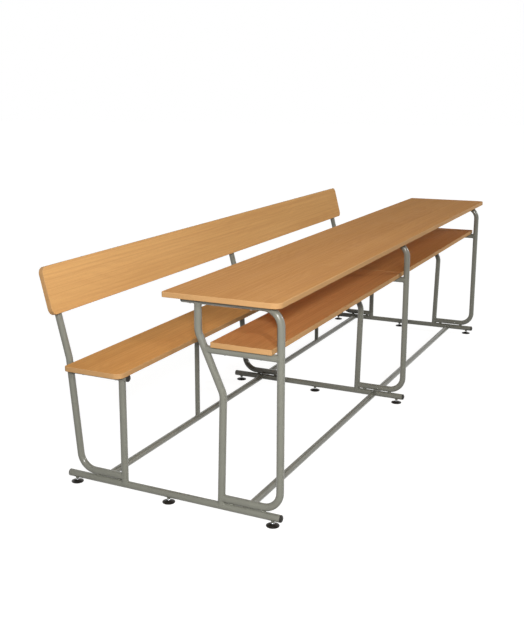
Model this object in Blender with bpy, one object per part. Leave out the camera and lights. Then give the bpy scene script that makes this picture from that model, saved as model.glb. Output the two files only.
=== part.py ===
"""School desk with a bench for several pupils, on three welded tube frames.

Metres, +Z up, +X along the desk's length.  The desk is on the -Y side and the bench on the
+Y side.  The origin is on the floor, under the middle of the whole object.
"""

import math

import bmesh
import bpy
from mathutils import Matrix, Vector

# Heights above the floor, to the upper faces of the boards and the underside of the foot tubes
desk_height = 0.750
seat_height = 0.450
foot_tube_clearance = 0.018

# Boards
board_length = 2.800
board_thickness = 0.018
top_depth = 0.410
top_front_corner_radius = 0.030
top_rear_corner_radius = 0.004
seat_depth = 0.230
seat_front_corner_radius = 0.030
seat_rear_corner_radius = 0.012
backrest_width = 0.170
backrest_corner_radius = 0.025
shelf_corner_radius = 0.003
shelf_overhang = 0.022
shelf_front_setback = 0.044
shelf_rear_gap = 0.054
shelf_seam = 0.001
shelf_space = 0.140

# The boards' edges are rounded over
edge_rounding = 0.0015

# Tubes
tube_radius = 0.0125
tube_wall = 0.0015
post_radius = 0.010
post_wall = 0.0015
bend_radius = 0.060
bench_bend_radius = 0.060
knee_radius = 0.060

# The gap between a foot tube and the tube welded above it
lower_tube_gap = 0.003

# Clearance between pieces that touch
gap = 0.0003

# Places along the length
end_overhang = 0.065
post_offset = 0.030

# Setbacks from the desk top's front edge, and from its rear edge
front_leg_setback = 0.022
foot_front_place = 0.020
top_tube_rear_setback = 0.044
rear_leg_rear_setback = 0.098
seat_front_gap = 0.166

# Setbacks from the seat's front edge
seat_tube_end_setback = 0.011
bench_leg_setback = 0.034
bench_rail_setback = 0.130

# The bench upright
upright_setback = 0.0224
upright_knee_rise = 0.010
backrest_rise = 0.249
upright_top_margin = 0.018
lower_lean = math.radians(5.54)
upper_lean = math.radians(14.4)
foot_rear_reach = 0.053

# The rear desk leg: its lower run leans, and it slants back past the shelf between two knees
rear_leg_lean = math.radians(1.43)
rear_leg_step = 0.079
upper_knee_rise = 0.0543
knee_spacing = 0.199
desk_rail_share = 0.6352

# Black end plugs
plug_insert_length = 0.012
flat_plug_head = 0.0025
domed_plug_head = 0.008
plug_rim_share = 0.45
plug_face_share = 0.72

# Wood screws that hold the boards on the tubes
screw_radius = 0.0022
screw_head_radius = 0.0045
screw_head_height = 0.0025
screw_crown_share = 0.75
head_sink = 0.0005
screw_grip_share = 0.67
top_front_screw_setback = 0.123
top_rear_screw_setback = 0.070
seat_front_screw_setback = 0.060
seat_rear_screw_setback = 0.035
shelf_front_screw_setback = 0.046
shelf_rear_screw_setback = 0.043
shelf_seam_inset = 0.006
backrest_screw_share = 0.28

# Plates between the seat posts and the seat
plate_length = 0.070
plate_width = 0.036
plate_thickness = 0.003
plate_corner_radius = 0.004
plate_screw_share = 0.34

# Levelling feet
stem_radius = 0.004
stem_clearance = 0.0005
stem_headroom = 0.0035
stem_chamfer = 0.001
hex_radius = 0.0064
hex_thickness = 0.0024
hex_clearance = 0.0018
pad_radius = 0.022
pad_edge = 0.001
pad_rim_top = 0.003
pad_hub_radius = 0.008
pad_hub_top = 0.008
pad_socket_bottom = 0.004
boss_top_radius = 0.007
boss_bottom_radius = 0.0055
front_foot_inset = 0.027
rear_foot_inset = 0.027
middle_foot_share = 0.505

# How finely round shapes are cut up
tube_sides = 12
screw_sides = 6
corner_steps = 5
shelf_corner_steps = 2
bend_step = math.radians(22.5)
smooth_angle = math.radians(35.0)

# Sizes that follow from those above; a board's corners are its front and its rear radius
top_corners = (top_front_corner_radius, top_rear_corner_radius)
seat_corners = (seat_front_corner_radius, seat_rear_corner_radius)
backrest_corners = (backrest_corner_radius, backrest_corner_radius)
shelf_corners = (shelf_corner_radius, shelf_corner_radius)
bay = board_length / 2.0 - end_overhang
frame_places = (("near", -bay), ("middle", 0.0), ("far", bay))
foot_tube_height = foot_tube_clearance + tube_radius
lower_tube_height = foot_tube_height + 2.0 * tube_radius + lower_tube_gap
top_bottom = desk_height - board_thickness
seat_bottom = seat_height - board_thickness
top_tube_height = top_bottom - gap - tube_radius
shelf_height = top_bottom - shelf_space
shelf_bottom = shelf_height - board_thickness
shelf_tube_height = shelf_bottom - gap - tube_radius
seat_tube_height = seat_bottom - gap - tube_radius
top_tube_end_place = top_depth - top_tube_rear_setback
rear_leg_top_place = top_depth - rear_leg_rear_setback
rear_leg_foot_place = rear_leg_top_place - rear_leg_step
desk_rail_place = rear_leg_foot_place * desk_rail_share
shelf_rear_place = rear_leg_top_place - shelf_rear_gap
shelf_depth = shelf_rear_place - shelf_front_setback
seat_front_place = top_depth + seat_front_gap
seat_rear_place = seat_front_place + seat_depth
bench_leg_place = seat_front_place + bench_leg_setback
bench_rail_place = seat_front_place + bench_rail_setback
seat_tube_end_place = seat_front_place + seat_tube_end_setback
knee_place = seat_rear_place + upright_setback
knee_height = seat_height + upright_knee_rise
upper_knee_height = shelf_tube_height + upper_knee_rise
lower_knee_height = upper_knee_height - knee_spacing
top_screw_places = (top_front_screw_setback, top_depth - top_rear_screw_setback)
seat_screw_places = (
    seat_front_place + seat_front_screw_setback, seat_rear_place - seat_rear_screw_setback
)
shelf_screw_places = (
    shelf_front_setback + shelf_front_screw_setback, shelf_rear_place - shelf_rear_screw_setback
)
tube_bore = tube_radius - tube_wall
screw_grip = board_thickness * screw_grip_share
stem_top = foot_tube_height + tube_bore - stem_headroom
backrest_height = seat_height + backrest_rise
shelf_board_length = bay + shelf_overhang - shelf_seam / 2.0
post_places = (("near", -bay / 2.0 + post_offset), ("far", bay / 2.0 + post_offset))
hex_bottom = pad_hub_top + gap
hex_top = hex_bottom + hex_thickness
boss_bottom = hex_top + hex_clearance
# The boss's rim meets the round of the tube half way through its wall
boss_top = foot_tube_height - math.sqrt(tube_radius ** 2 - boss_top_radius ** 2) + tube_wall / 2.0


def lower_upright_place(height):
    """Depth of the upright's axis at a height below its knee."""
    return knee_place + (height - knee_height) * math.tan(lower_lean)


def upper_upright_place(height):
    """Depth of the upright's axis at a height above its knee."""
    return knee_place + (height - knee_height) * math.tan(upper_lean)


half_backrest = backrest_width / 2.0
upright_top_height = backrest_height + (half_backrest - upright_top_margin) * math.cos(upper_lean)
upright_top_place = upper_upright_place(upright_top_height)
foot_rear_place = lower_upright_place(lower_tube_height) + foot_rear_reach
front_foot_place = foot_front_place + front_foot_inset
rear_foot_place = foot_rear_place - rear_foot_inset
middle_foot_place = front_foot_place + middle_foot_share * (rear_foot_place - front_foot_place)
foot_places = (("front", front_foot_place), ("middle", middle_foot_place), ("rear", rear_foot_place))

# The rearmost point is the rim of the cap on the upright's top
cap_rim = domed_plug_head * plug_rim_share
overall_depth = (
    upright_top_place + cap_rim * math.sin(upper_lean) + tube_radius * math.cos(upper_lean)
)
centre_place = overall_depth / 2.0


def at(along, place, height):
    """World point from a place along the length, a depth from the desk's edge and a height."""
    return Vector((along, place - centre_place, height))


# The parts' finishes

def finish(name, colour, roughness, metallic):
    material = bpy.data.materials.new(name)
    material.use_nodes = True
    shader = material.node_tree.nodes["Principled BSDF"]
    shader.inputs["Base Color"].default_value = (*colour, 1.0)
    shader.inputs["Roughness"].default_value = roughness
    shader.inputs["Metallic"].default_value = metallic
    material.diffuse_color = (*colour, 1.0)
    return material


# Mesh helpers

def new_mesh(name, build, material):
    """Make a mesh from a function that fills a bmesh, with faces pointing out."""
    shape = bmesh.new()
    build(shape)
    bmesh.ops.recalc_face_normals(shape, faces=shape.faces)
    mesh = bpy.data.meshes.new(name)
    shape.to_mesh(mesh)
    shape.free()
    mesh.materials.append(material)
    mesh.shade_smooth()
    mesh.set_sharp_from_angle(angle=smooth_angle)
    return mesh


def place_object(name, mesh, parent=None, location=(0.0, 0.0, 0.0)):
    piece = bpy.data.objects.new(name, mesh)
    bpy.context.scene.collection.objects.link(piece)
    piece.location = location
    piece.parent = parent
    return piece


def join_rings(shape, rings, closed):
    """Skin a list of rings of points; the last ring meets the first one if closed."""
    loops = [[shape.verts.new(point) for point in ring] for ring in rings]
    pairs = list(zip(loops, loops[1:]))
    if closed:
        pairs.append((loops[-1], loops[0]))
    for first, second in pairs:
        count = len(first)
        for index in range(count):
            after = (index + 1) % count
            shape.faces.new((first[index], first[after], second[after], second[index]))
    if not closed:
        shape.faces.new(loops[0][::-1])
        shape.faces.new(loops[-1])


def section(centre, tangent, side, radius):
    """A ring of points round a path's centre, square to its tangent."""
    across = side.normalized() * radius
    over = tangent.normalized().cross(across)
    ring = []
    for index in range(tube_sides):
        turn = 2.0 * math.pi * index / tube_sides
        ring.append(centre + across * math.cos(turn) + over * math.sin(turn))
    return ring


def sweep(shape, path, side, radius, wall=0.0, cap_head=0.0):
    """A round bar along a path, or a tube where it has a wall; both ends are cut square.

    A cap head gives the tube's last end a plug of that height, in one piece with the tube.
    """
    outer = [section(point, tangent, side, radius) for point, tangent in path]
    if wall == 0.0:
        join_rings(shape, outer, closed=False)
        return
    bore = radius - wall
    inner = [section(point, tangent, side, bore) for point, tangent in path]
    if cap_head == 0.0:
        join_rings(shape, outer + inner[::-1], closed=True)
        return
    end, tangent = path[-1]
    way = tangent.normalized()
    inner[-1] = section(end - way * plug_insert_length, tangent, side, bore)
    rim = section(end + way * (cap_head * plug_rim_share), tangent, side, radius)
    face = section(end + way * cap_head, tangent, side, radius * plug_face_share)
    join_rings(shape, inner[::-1] + outer + [rim, face], closed=False)


def straight_path(start, end):
    tangent = end - start
    return [(start, tangent), (end, tangent)]


def bent_path(corners, radii):
    """Straight runs between corner points, with an arc of the given radius at each bend."""
    path = [(corners[0], corners[1] - corners[0])]
    for before, corner, after, radius in zip(corners, corners[1:], corners[2:], radii):
        arrive = (corner - before).normalized()
        leave = (after - corner).normalized()
        angle = arrive.angle(leave)
        reach = radius * math.tan(angle / 2.0)
        axis = arrive.cross(leave).normalized()
        start = corner - arrive * reach
        centre = start + axis.cross(arrive) * radius
        steps = max(2, round(angle / bend_step))
        for index in range(steps + 1):
            turn = Matrix.Rotation(angle * index / steps, 3, axis)
            path.append((centre + turn @ (start - centre), turn @ arrive))
    path.append((corners[-1], corners[-1] - corners[-2]))
    return path


def turned(shape, profile, sides, place=Matrix.Identity(4), hexed=()):
    """Spin a profile of (radius, height) pairs about Z; points in hexed make a hexagon."""
    rings = []
    for index, (radius, height) in enumerate(profile):
        ring = []
        for step in range(sides):
            turn = 2.0 * math.pi * step / sides
            reach = radius
            if index in hexed and step % 2:
                reach = radius * math.cos(math.pi / 6.0)
            ring.append(place @ Vector((reach * math.cos(turn), reach * math.sin(turn), height)))
        rings.append(ring)
    join_rings(shape, rings, closed=False)


def rounded_outline(length, depth, corners, inset, steps):
    """A rectangle about the origin with rounded corners, drawn in by inset.

    The corners are the radius of the front ones, on the -Y side, and that of the rear ones.
    """
    front, rear = corners
    quarters = ((1, 1, rear), (-1, 1, rear), (-1, -1, front), (1, -1, front))
    points = []
    for quarter, (sign_x, sign_y, corner) in enumerate(quarters):
        centre_x = sign_x * (length / 2.0 - corner)
        centre_y = sign_y * (depth / 2.0 - corner)
        radius = corner - inset
        for step in range(steps + 1):
            turn = math.pi / 2.0 * (quarter + step / steps)
            points.append((centre_x + radius * math.cos(turn), centre_y + radius * math.sin(turn)))
    return points


def raise_outline(outline, height):
    return [Vector((x, y, height)) for x, y in outline]


def combine(target, build_tool, operation):
    """Join a shape to a mesh, or take it away from the mesh."""
    tool = place_object("tool", new_mesh("tool", build_tool, target.materials[0]))
    body = place_object("body", target)
    modifier = body.modifiers.new("combine", "BOOLEAN")
    modifier.operation = operation
    modifier.solver = "EXACT"
    modifier.object = tool
    bpy.context.view_layer.update()
    evaluated = body.evaluated_get(bpy.context.evaluated_depsgraph_get())
    result = bpy.data.meshes.new_from_object(evaluated)
    tool_mesh = tool.data
    name = target.name
    bpy.data.objects.remove(tool)
    bpy.data.objects.remove(body)
    bpy.data.meshes.remove(tool_mesh)
    bpy.data.meshes.remove(target)
    result.name = name
    result.shade_smooth()
    result.set_sharp_from_angle(angle=smooth_angle)
    return result


def cut(target, build_tool):
    return combine(target, build_tool, "DIFFERENCE")


def weld(target, build_tool):
    return combine(target, build_tool, "UNION")


across_frame = Vector((1.0, 0.0, 0.0))
depth_way = Vector((0.0, 1.0, 0.0))
upward = Vector((0.0, 0.0, 1.0))
backrest_normal = Vector((0.0, -math.cos(upper_lean), math.sin(upper_lean)))
backrest_rise_way = Vector((0.0, math.sin(upper_lean), math.cos(upper_lean)))


# Wood screws.  Each is given by the point where it enters its board, and its direction.

def frame_on(point, direction):
    """A frame with its origin at a point and Z along a direction."""
    turn = upward.rotation_difference(direction)
    return Matrix.Translation(point) @ turn.to_matrix().to_4x4()


def screw(shape, entry, direction, stack):
    """A screw through a stack of metal of the given height, into a board."""
    head_top = head_sink - stack - gap
    head_bottom = head_top - screw_head_height
    profile = (
        (screw_head_radius * screw_crown_share, head_bottom),
        (screw_head_radius, head_top),
        (screw_radius, head_top),
        (screw_radius, screw_grip),
    )
    turned(shape, profile, screw_sides, frame_on(entry, direction))


def screw_hole(shape, entry, direction):
    """The room for a screw's shank in a board, from outside its face to past the tip."""
    radius = screw_radius + gap / math.cos(math.pi / screw_sides)
    profile = ((radius, -screw_grip), (radius, screw_grip + gap))
    turned(shape, profile, screw_sides, frame_on(entry, direction))


def top_screw_entries():
    return [at(0.0, place, top_bottom) for place in top_screw_places]


def seat_screw_entries():
    return [at(0.0, place, seat_bottom) for place in seat_screw_places]


def shelf_screw_entries(offsets):
    entries = []
    for place in shelf_screw_places:
        for offset in offsets:
            entries.append(at(offset, place, shelf_bottom))
    return entries


def backrest_screw_entries():
    """Two screws, one above the other, enter the backrest's rear face at each upright."""
    centre = at(0.0, upper_upright_place(backrest_height), backrest_height)
    face = centre + backrest_normal * (tube_radius + gap)
    shift = backrest_rise_way * (backrest_width * backrest_screw_share)
    return [face - shift, face + shift]


def plate_screw_entries():
    offset = plate_length * plate_screw_share
    return [at(side * offset, bench_rail_place, seat_bottom) for side in (-1.0, 1.0)]


# Tube paths of one leg frame, in the plane x = 0

def rear_leg_place(height):
    """Depth of the rear desk leg's axis at a height below its lower knee."""
    return rear_leg_foot_place - height * math.tan(rear_leg_lean)


def slanted_leg_place(height):
    """Depth of the rear desk leg's axis at a height between its knees."""
    start = rear_leg_place(lower_knee_height)
    share = (height - lower_knee_height) / (upper_knee_height - lower_knee_height)
    return start + share * (rear_leg_top_place - start)


def desk_loop_path():
    """From under the desk top's rear, down the front leg and back above the foot tube."""
    corners = [
        at(0.0, top_tube_end_place, top_tube_height),
        at(0.0, front_leg_setback, top_tube_height),
        at(0.0, front_leg_setback, lower_tube_height),
        at(0.0, rear_leg_place(lower_tube_height), lower_tube_height),
    ]
    return bent_path(corners, (bend_radius, bend_radius))


def rear_leg_path():
    corners = [
        at(0.0, rear_leg_place(foot_tube_height), foot_tube_height),
        at(0.0, rear_leg_place(lower_knee_height), lower_knee_height),
        at(0.0, rear_leg_top_place, upper_knee_height),
        at(0.0, rear_leg_top_place, top_tube_height),
    ]
    return bent_path(corners, (knee_radius, knee_radius))


def upright_path():
    """From the bench's front leg back, up behind the seat and on behind the backrest."""
    corners = [
        at(0.0, bench_leg_place, lower_tube_height),
        at(0.0, lower_upright_place(lower_tube_height), lower_tube_height),
        at(0.0, knee_place, knee_height),
        at(0.0, upright_top_place, upright_top_height),
    ]
    return bent_path(corners, (bench_bend_radius, knee_radius))


foot_run = straight_path(
    at(0.0, foot_front_place, foot_tube_height), at(0.0, foot_rear_place, foot_tube_height)
)
top_run = straight_path(
    at(0.0, front_leg_setback + bend_radius, top_tube_height),
    at(0.0, top_tube_end_place, top_tube_height),
)
front_leg_run = straight_path(
    at(0.0, front_leg_setback, lower_tube_height + bend_radius),
    at(0.0, front_leg_setback, top_tube_height - bend_radius),
)
rear_leg_foot_run = straight_path(
    at(0.0, rear_leg_place(foot_tube_height), foot_tube_height),
    at(0.0, rear_leg_place(lower_knee_height), lower_knee_height),
)
bench_leg_run = straight_path(
    at(0.0, bench_leg_place, foot_tube_height), at(0.0, bench_leg_place, seat_tube_height)
)
seat_tube_run = straight_path(
    at(0.0, seat_tube_end_place, seat_tube_height),
    at(0.0, lower_upright_place(seat_tube_height), seat_tube_height),
)
shelf_tube_run = straight_path(
    at(0.0, front_leg_setback, shelf_tube_height),
    at(0.0, slanted_leg_place(shelf_tube_height), shelf_tube_height),
)


def tube(shape, path, side=across_frame, cap_head=0.0):
    sweep(shape, path, side, tube_radius, tube_wall, cap_head)


def cleared(shape, path, side=across_frame):
    """The room that a tube takes, with the clearance that its neighbours keep."""
    sweep(shape, path, side, tube_radius + gap)


def tube_screws(shape, entries, direction):
    for entry in entries:
        screw(shape, entry, direction, 2.0 * tube_radius)


# One leg frame.  Its tubes are built once, in the plane x = 0, and used three times.

def foot_tube_mesh(material):
    """The foot tube, with a closed rear end and a threaded boss for each foot."""
    mesh = new_mesh(
        "foot_tube", lambda shape: tube(shape, foot_run, cap_head=flat_plug_head), material
    )

    def bosses(shape):
        profile = ((boss_bottom_radius, boss_bottom), (boss_top_radius, boss_top))
        for _, place in foot_places:
            turned(shape, profile, tube_sides, Matrix.Translation(at(0.0, place, 0.0)))

    def bores(shape):
        bore = stem_radius + stem_clearance
        profile = ((bore, boss_bottom - hex_clearance), (bore, foot_tube_height))
        for _, place in foot_places:
            turned(shape, profile, tube_sides, Matrix.Translation(at(0.0, place, 0.0)))

    return cut(weld(mesh, bosses), bores)


def desk_loop_mesh(material):
    mesh = new_mesh("desk_loop", lambda shape: tube(shape, desk_loop_path()), material)
    mesh = cut(mesh, lambda shape: cleared(shape, rear_leg_foot_run))
    return weld(mesh, lambda shape: tube_screws(shape, top_screw_entries(), upward))


def rear_leg_mesh(material):
    mesh = new_mesh("desk_rear_leg", lambda shape: tube(shape, rear_leg_path()), material)

    def away(shape):
        cleared(shape, foot_run)
        cleared(shape, top_run)

    return cut(mesh, away)


def shelf_tube_mesh(material, screw_offsets):
    mesh = new_mesh("shelf_support", lambda shape: tube(shape, shelf_tube_run), material)

    def away(shape):
        cleared(shape, front_leg_run)
        cleared(shape, rear_leg_path())

    entries = shelf_screw_entries(screw_offsets)
    return weld(cut(mesh, away), lambda shape: tube_screws(shape, entries, upward))


def bench_leg_mesh(material):
    mesh = new_mesh("bench_front_leg", lambda shape: tube(shape, bench_leg_run), material)

    def away(shape):
        cleared(shape, foot_run)
        cleared(shape, seat_tube_run)

    return cut(mesh, away)


def upright_mesh(material):
    """The bent bench upright, with a closed top end."""
    mesh = new_mesh(
        "bench_upright", lambda shape: tube(shape, upright_path(), cap_head=domed_plug_head), material
    )
    mesh = cut(mesh, lambda shape: cleared(shape, bench_leg_run))
    entries = backrest_screw_entries()
    return weld(mesh, lambda shape: tube_screws(shape, entries, backrest_normal))


def seat_tube_mesh(material):
    mesh = new_mesh("seat_support", lambda shape: tube(shape, seat_tube_run), material)
    mesh = cut(mesh, lambda shape: cleared(shape, upright_path()))
    return weld(mesh, lambda shape: tube_screws(shape, seat_screw_entries(), upward))


def plug_mesh(name, end, direction, head, material):
    """A plug in a tube's end: an insert in the bore and a head that covers the rim."""
    insert_radius = tube_bore - gap / math.cos(math.pi / tube_sides)
    profile = (
        (insert_radius, -plug_insert_length),
        (insert_radius, gap),
        (tube_radius, gap),
        (tube_radius, head * plug_rim_share),
        (tube_radius * plug_face_share, head),
    )
    return new_mesh(
        name, lambda shape: turned(shape, profile, tube_sides, frame_on(end, direction)), material
    )


# Levelling feet: a threaded stem that turns in the tube's boss, and a pad under it

def pad_mesh(material):
    socket = stem_radius + stem_clearance
    profile = (
        (pad_radius - pad_edge, 0.0),
        (pad_radius, pad_edge),
        (pad_radius, pad_rim_top),
        (pad_hub_radius, pad_hub_top),
        (socket, pad_hub_top),
        (socket, pad_socket_bottom),
    )
    return new_mesh("foot_pad", lambda shape: turned(shape, profile, tube_sides), material)


def stem_mesh(material):
    profile = (
        (stem_radius, pad_socket_bottom + gap),
        (stem_radius, hex_bottom),
        (hex_radius, hex_bottom),
        (hex_radius, hex_top),
        (stem_radius, hex_top),
        (stem_radius, stem_top - stem_chamfer),
        (stem_radius - stem_chamfer, stem_top),
    )
    return new_mesh(
        "foot_stem", lambda shape: turned(shape, profile, tube_sides, hexed=(2, 3)), material
    )


def make_frames(paint, plastic, zinc):
    top_end = at(0.0, top_tube_end_place, top_tube_height)
    seat_end = at(0.0, seat_tube_end_place, seat_tube_height)
    foot_end = at(0.0, foot_front_place, foot_tube_height)
    end_shelf_tube = shelf_tube_mesh(paint, (0.0,))
    pieces = {
        "foot_tube": foot_tube_mesh(paint),
        "desk_loop": desk_loop_mesh(paint),
        "desk_rear_leg": rear_leg_mesh(paint),
        "bench_front_leg": bench_leg_mesh(paint),
        "bench_upright": upright_mesh(paint),
        "seat_support": seat_tube_mesh(paint),
        "desk_tube_plug": plug_mesh("desk_tube_plug", top_end, depth_way, domed_plug_head, plastic),
        "seat_tube_plug": plug_mesh("seat_tube_plug", seat_end, -depth_way, domed_plug_head, plastic),
        "foot_tube_plug": plug_mesh("foot_tube_plug", foot_end, -depth_way, domed_plug_head, plastic),
    }
    shelf_tubes = {
        "near": end_shelf_tube,
        "middle": shelf_tube_mesh(paint, (-shelf_seam_inset, shelf_seam_inset)),
        "far": end_shelf_tube,
    }
    pad = pad_mesh(plastic)
    stem = stem_mesh(zinc)
    for name, along in frame_places:
        frame = bpy.data.objects.new(name + "_frame", None)
        bpy.context.scene.collection.objects.link(frame)
        frame.location = (along, 0.0, 0.0)
        for piece_name, mesh in pieces.items():
            place_object(name + "_" + piece_name, mesh, frame)
        place_object(name + "_shelf_support", shelf_tubes[name], frame)
        for foot_name, place in foot_places:
            foot = name + "_" + foot_name
            pad_object = place_object(foot + "_pad", pad, frame, at(0.0, place, 0.0))
            place_object(foot + "_stem", stem, pad_object)


# Rails between the frames, and the posts that hold the seat up in the middle of each bay

def rail_mesh(material):
    """A rail along X about x = 0, cut at both ends to fit the round of the foot tubes."""
    far_end = Vector((bay / 2.0, 0.0, foot_tube_height))
    start = Vector((-far_end.x, 0.0, far_end.z))
    reach = depth_way * (2.0 * tube_radius)
    mesh = new_mesh(
        "rail", lambda shape: tube(shape, straight_path(start, far_end), depth_way), material
    )

    def away(shape):
        for end in (start, far_end):
            cleared(shape, straight_path(end - reach, end + reach))

    return cut(mesh, away)


def seat_post_mesh(material):
    """A post from the rail up to a plate under the seat, with the plate's screws."""
    plate_bottom = seat_bottom - gap - plate_thickness
    axis_start = at(0.0, bench_rail_place, foot_tube_height)
    axis_end = at(0.0, bench_rail_place, plate_bottom + plate_thickness / 2.0)
    run = straight_path(axis_start, axis_end)
    reach = across_frame * (2.0 * tube_radius)
    mesh = new_mesh(
        "seat_post", lambda shape: sweep(shape, run, across_frame, post_radius, post_wall), material
    )
    mesh = cut(
        mesh,
        lambda shape: cleared(shape, straight_path(axis_start - reach, axis_start + reach), depth_way),
    )

    def plate(shape):
        corners = (plate_corner_radius, plate_corner_radius)
        outline = rounded_outline(plate_length, plate_width, corners, 0.0, 2)
        shift = at(0.0, bench_rail_place, 0.0)
        rings = []
        for height in (plate_bottom, plate_bottom + plate_thickness):
            rings.append([point + shift for point in raise_outline(outline, height)])
        join_rings(shape, rings, closed=False)

    def screws(shape):
        for entry in plate_screw_entries():
            screw(shape, entry, upward, plate_thickness)

    return weld(weld(mesh, plate), screws)


def make_rails(material):
    rail = rail_mesh(material)
    for bay_name, along in (("near", -bay / 2.0), ("far", bay / 2.0)):
        for rail_name, place in (("desk_rail", desk_rail_place), ("bench_rail", bench_rail_place)):
            place_object(bay_name + "_" + rail_name, rail, None, at(along, place, 0.0))


def make_seat_posts(material):
    post = seat_post_mesh(material)
    for name, along in post_places:
        place_object(name + "_seat_post", post, None, (along, 0.0, 0.0))


# Boards

def board_mesh(name, length, depth, corners, steps, entries, frame, material):
    """A board about the origin, its underside at z = 0; the entries are world points."""

    def slab(shape):
        profile = (
            (edge_rounding, 0.0),
            (0.0, edge_rounding),
            (0.0, board_thickness - edge_rounding),
            (edge_rounding, board_thickness),
        )
        rings = []
        for inset, height in profile:
            rings.append(raise_outline(rounded_outline(length, depth, corners, inset, steps), height))
        join_rings(shape, rings, closed=False)

    def holes(shape):
        for entry in entries:
            screw_hole(shape, frame.inverted() @ entry, upward)

    return cut(new_mesh(name, slab, material), holes)


def make_board(name, length, depth, corners, steps, entries, frame, material):
    mesh = board_mesh(name, length, depth, corners, steps, entries, frame, material)
    place_object(name, mesh).matrix_world = frame


def level_frame(along, place, underside):
    return Matrix.Translation(at(along, place, underside))


def backrest_frame():
    """Local X along the desk, Y up the slope and Z out of the board's front face."""
    centre = at(0.0, upper_upright_place(backrest_height), backrest_height)
    origin = centre + backrest_normal * (tube_radius + gap)
    turn = Matrix((across_frame, backrest_rise_way, backrest_normal)).transposed()
    return Matrix.Translation(origin) @ turn.to_4x4()


def at_each(places, entries):
    """The entries once for each place along the desk."""
    return [entry + across_frame * along for _, along in places for entry in entries]


def make_boards(material):
    make_board(
        "desk_top", board_length, top_depth, top_corners, corner_steps,
        at_each(frame_places, top_screw_entries()),
        level_frame(0.0, top_depth / 2.0, top_bottom), material,
    )
    make_board(
        "seat", board_length, seat_depth, seat_corners, corner_steps,
        at_each(frame_places, seat_screw_entries()) + at_each(post_places, plate_screw_entries()),
        level_frame(0.0, seat_front_place + seat_depth / 2.0, seat_bottom), material,
    )
    make_board(
        "backrest", board_length, backrest_width, backrest_corners, corner_steps,
        at_each(frame_places, backrest_screw_entries()), backrest_frame(), material,
    )
    shelf_place = shelf_front_setback + shelf_depth / 2.0
    for name, side in (("near", -1.0), ("far", 1.0)):
        along = side * (shelf_seam + shelf_board_length) / 2.0
        end_entries = [
            entry + across_frame * (side * bay) for entry in shelf_screw_entries((0.0,))
        ]
        make_board(
            name + "_shelf", shelf_board_length, shelf_depth, shelf_corners, shelf_corner_steps,
            end_entries + shelf_screw_entries((side * shelf_seam_inset,)),
            level_frame(along, shelf_place, shelf_bottom), material,
        )


def main():
    for old in list(bpy.data.objects):
        bpy.data.objects.remove(old, do_unlink=True)
    grey_paint = finish("grey_paint", (0.28, 0.29, 0.25), 0.38, 0.0)
    beech = finish("beech", (0.56, 0.33, 0.16), 0.42, 0.0)
    black_plastic = finish("black_plastic", (0.02, 0.02, 0.022), 0.45, 0.0)
    bright_zinc = finish("bright_zinc", (0.72, 0.73, 0.74), 0.25, 1.0)
    make_frames(grey_paint, black_plastic, bright_zinc)
    make_rails(grey_paint)
    make_seat_posts(grey_paint)
    make_boards(beech)
    bpy.context.view_layer.update()


main()
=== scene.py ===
"""Looks for a school desk with a bench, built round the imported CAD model.

Metres, +Z up, +X along the desk's length.  The desk is on the -Y side and the bench on the
+Y side.  Every piece of the CAD model gets a finer piece with the same place and size.
"""

import math

import bmesh
import bpy
from mathutils import Matrix, Vector


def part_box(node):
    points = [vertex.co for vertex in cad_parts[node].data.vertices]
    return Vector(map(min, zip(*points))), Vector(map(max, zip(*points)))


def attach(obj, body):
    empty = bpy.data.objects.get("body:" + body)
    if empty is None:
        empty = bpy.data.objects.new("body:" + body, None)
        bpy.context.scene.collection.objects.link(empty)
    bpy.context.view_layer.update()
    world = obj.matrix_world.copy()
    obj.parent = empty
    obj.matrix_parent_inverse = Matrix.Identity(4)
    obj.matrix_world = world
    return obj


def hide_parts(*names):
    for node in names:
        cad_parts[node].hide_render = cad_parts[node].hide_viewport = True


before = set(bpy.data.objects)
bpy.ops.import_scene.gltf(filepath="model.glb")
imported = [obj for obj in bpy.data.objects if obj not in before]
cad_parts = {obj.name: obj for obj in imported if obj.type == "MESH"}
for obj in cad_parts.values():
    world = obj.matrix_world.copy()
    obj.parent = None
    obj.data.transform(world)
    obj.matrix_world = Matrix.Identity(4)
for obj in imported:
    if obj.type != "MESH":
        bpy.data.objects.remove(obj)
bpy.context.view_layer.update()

# Places are depths from the desk top's front edge
front_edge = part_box("desk_top")[0].y

# Heights above the floor
desk_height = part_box("desk_top")[1].z
seat_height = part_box("seat")[1].z
foot_tube_clearance = 0.018

# Boards; a board's corners are its front and its rear radius
board_length = 2.800
board_thickness = 0.018
top_depth = 0.410
top_corners = (0.030, 0.008)
seat_depth = 0.230
seat_corners = (0.030, 0.012)
backrest_width = 0.170
backrest_corners = (0.025, 0.025)
shelf_corners = (0.003, 0.003)
shelf_overhang = 0.022
shelf_front_setback = 0.044
shelf_rear_gap = 0.054
shelf_seam = 0.001
shelf_space = 0.140
edge_rounding = 0.0018
edge_support = 0.0004
band_thickness = 0.002

# Tubes
tube_radius = 0.0125
tube_wall = 0.0015
post_radius = 0.010
bend_radius = 0.060
bench_bend_radius = 0.060
knee_radius = 0.060
lower_tube_gap = 0.003
gap = 0.0003

# Places along the length
end_overhang = 0.065
post_offset = 0.030

# Setbacks and leans of the tubes
front_leg_setback = 0.022
foot_front_place = 0.020
top_tube_rear_setback = 0.044
rear_leg_rear_setback = 0.098
seat_front_gap = 0.166
seat_tube_end_setback = 0.011
bench_leg_setback = 0.034
bench_rail_setback = 0.130
upright_setback = 0.0224
upright_knee_rise = 0.010
backrest_rise = 0.249
upright_top_margin = 0.018
lower_lean = math.radians(5.54)
upper_lean = math.radians(14.4)
foot_rear_reach = 0.053
rear_leg_lean = math.radians(1.43)
rear_leg_step = 0.079
upper_knee_rise = 0.0543
knee_spacing = 0.199
desk_rail_share = 0.6352

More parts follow.
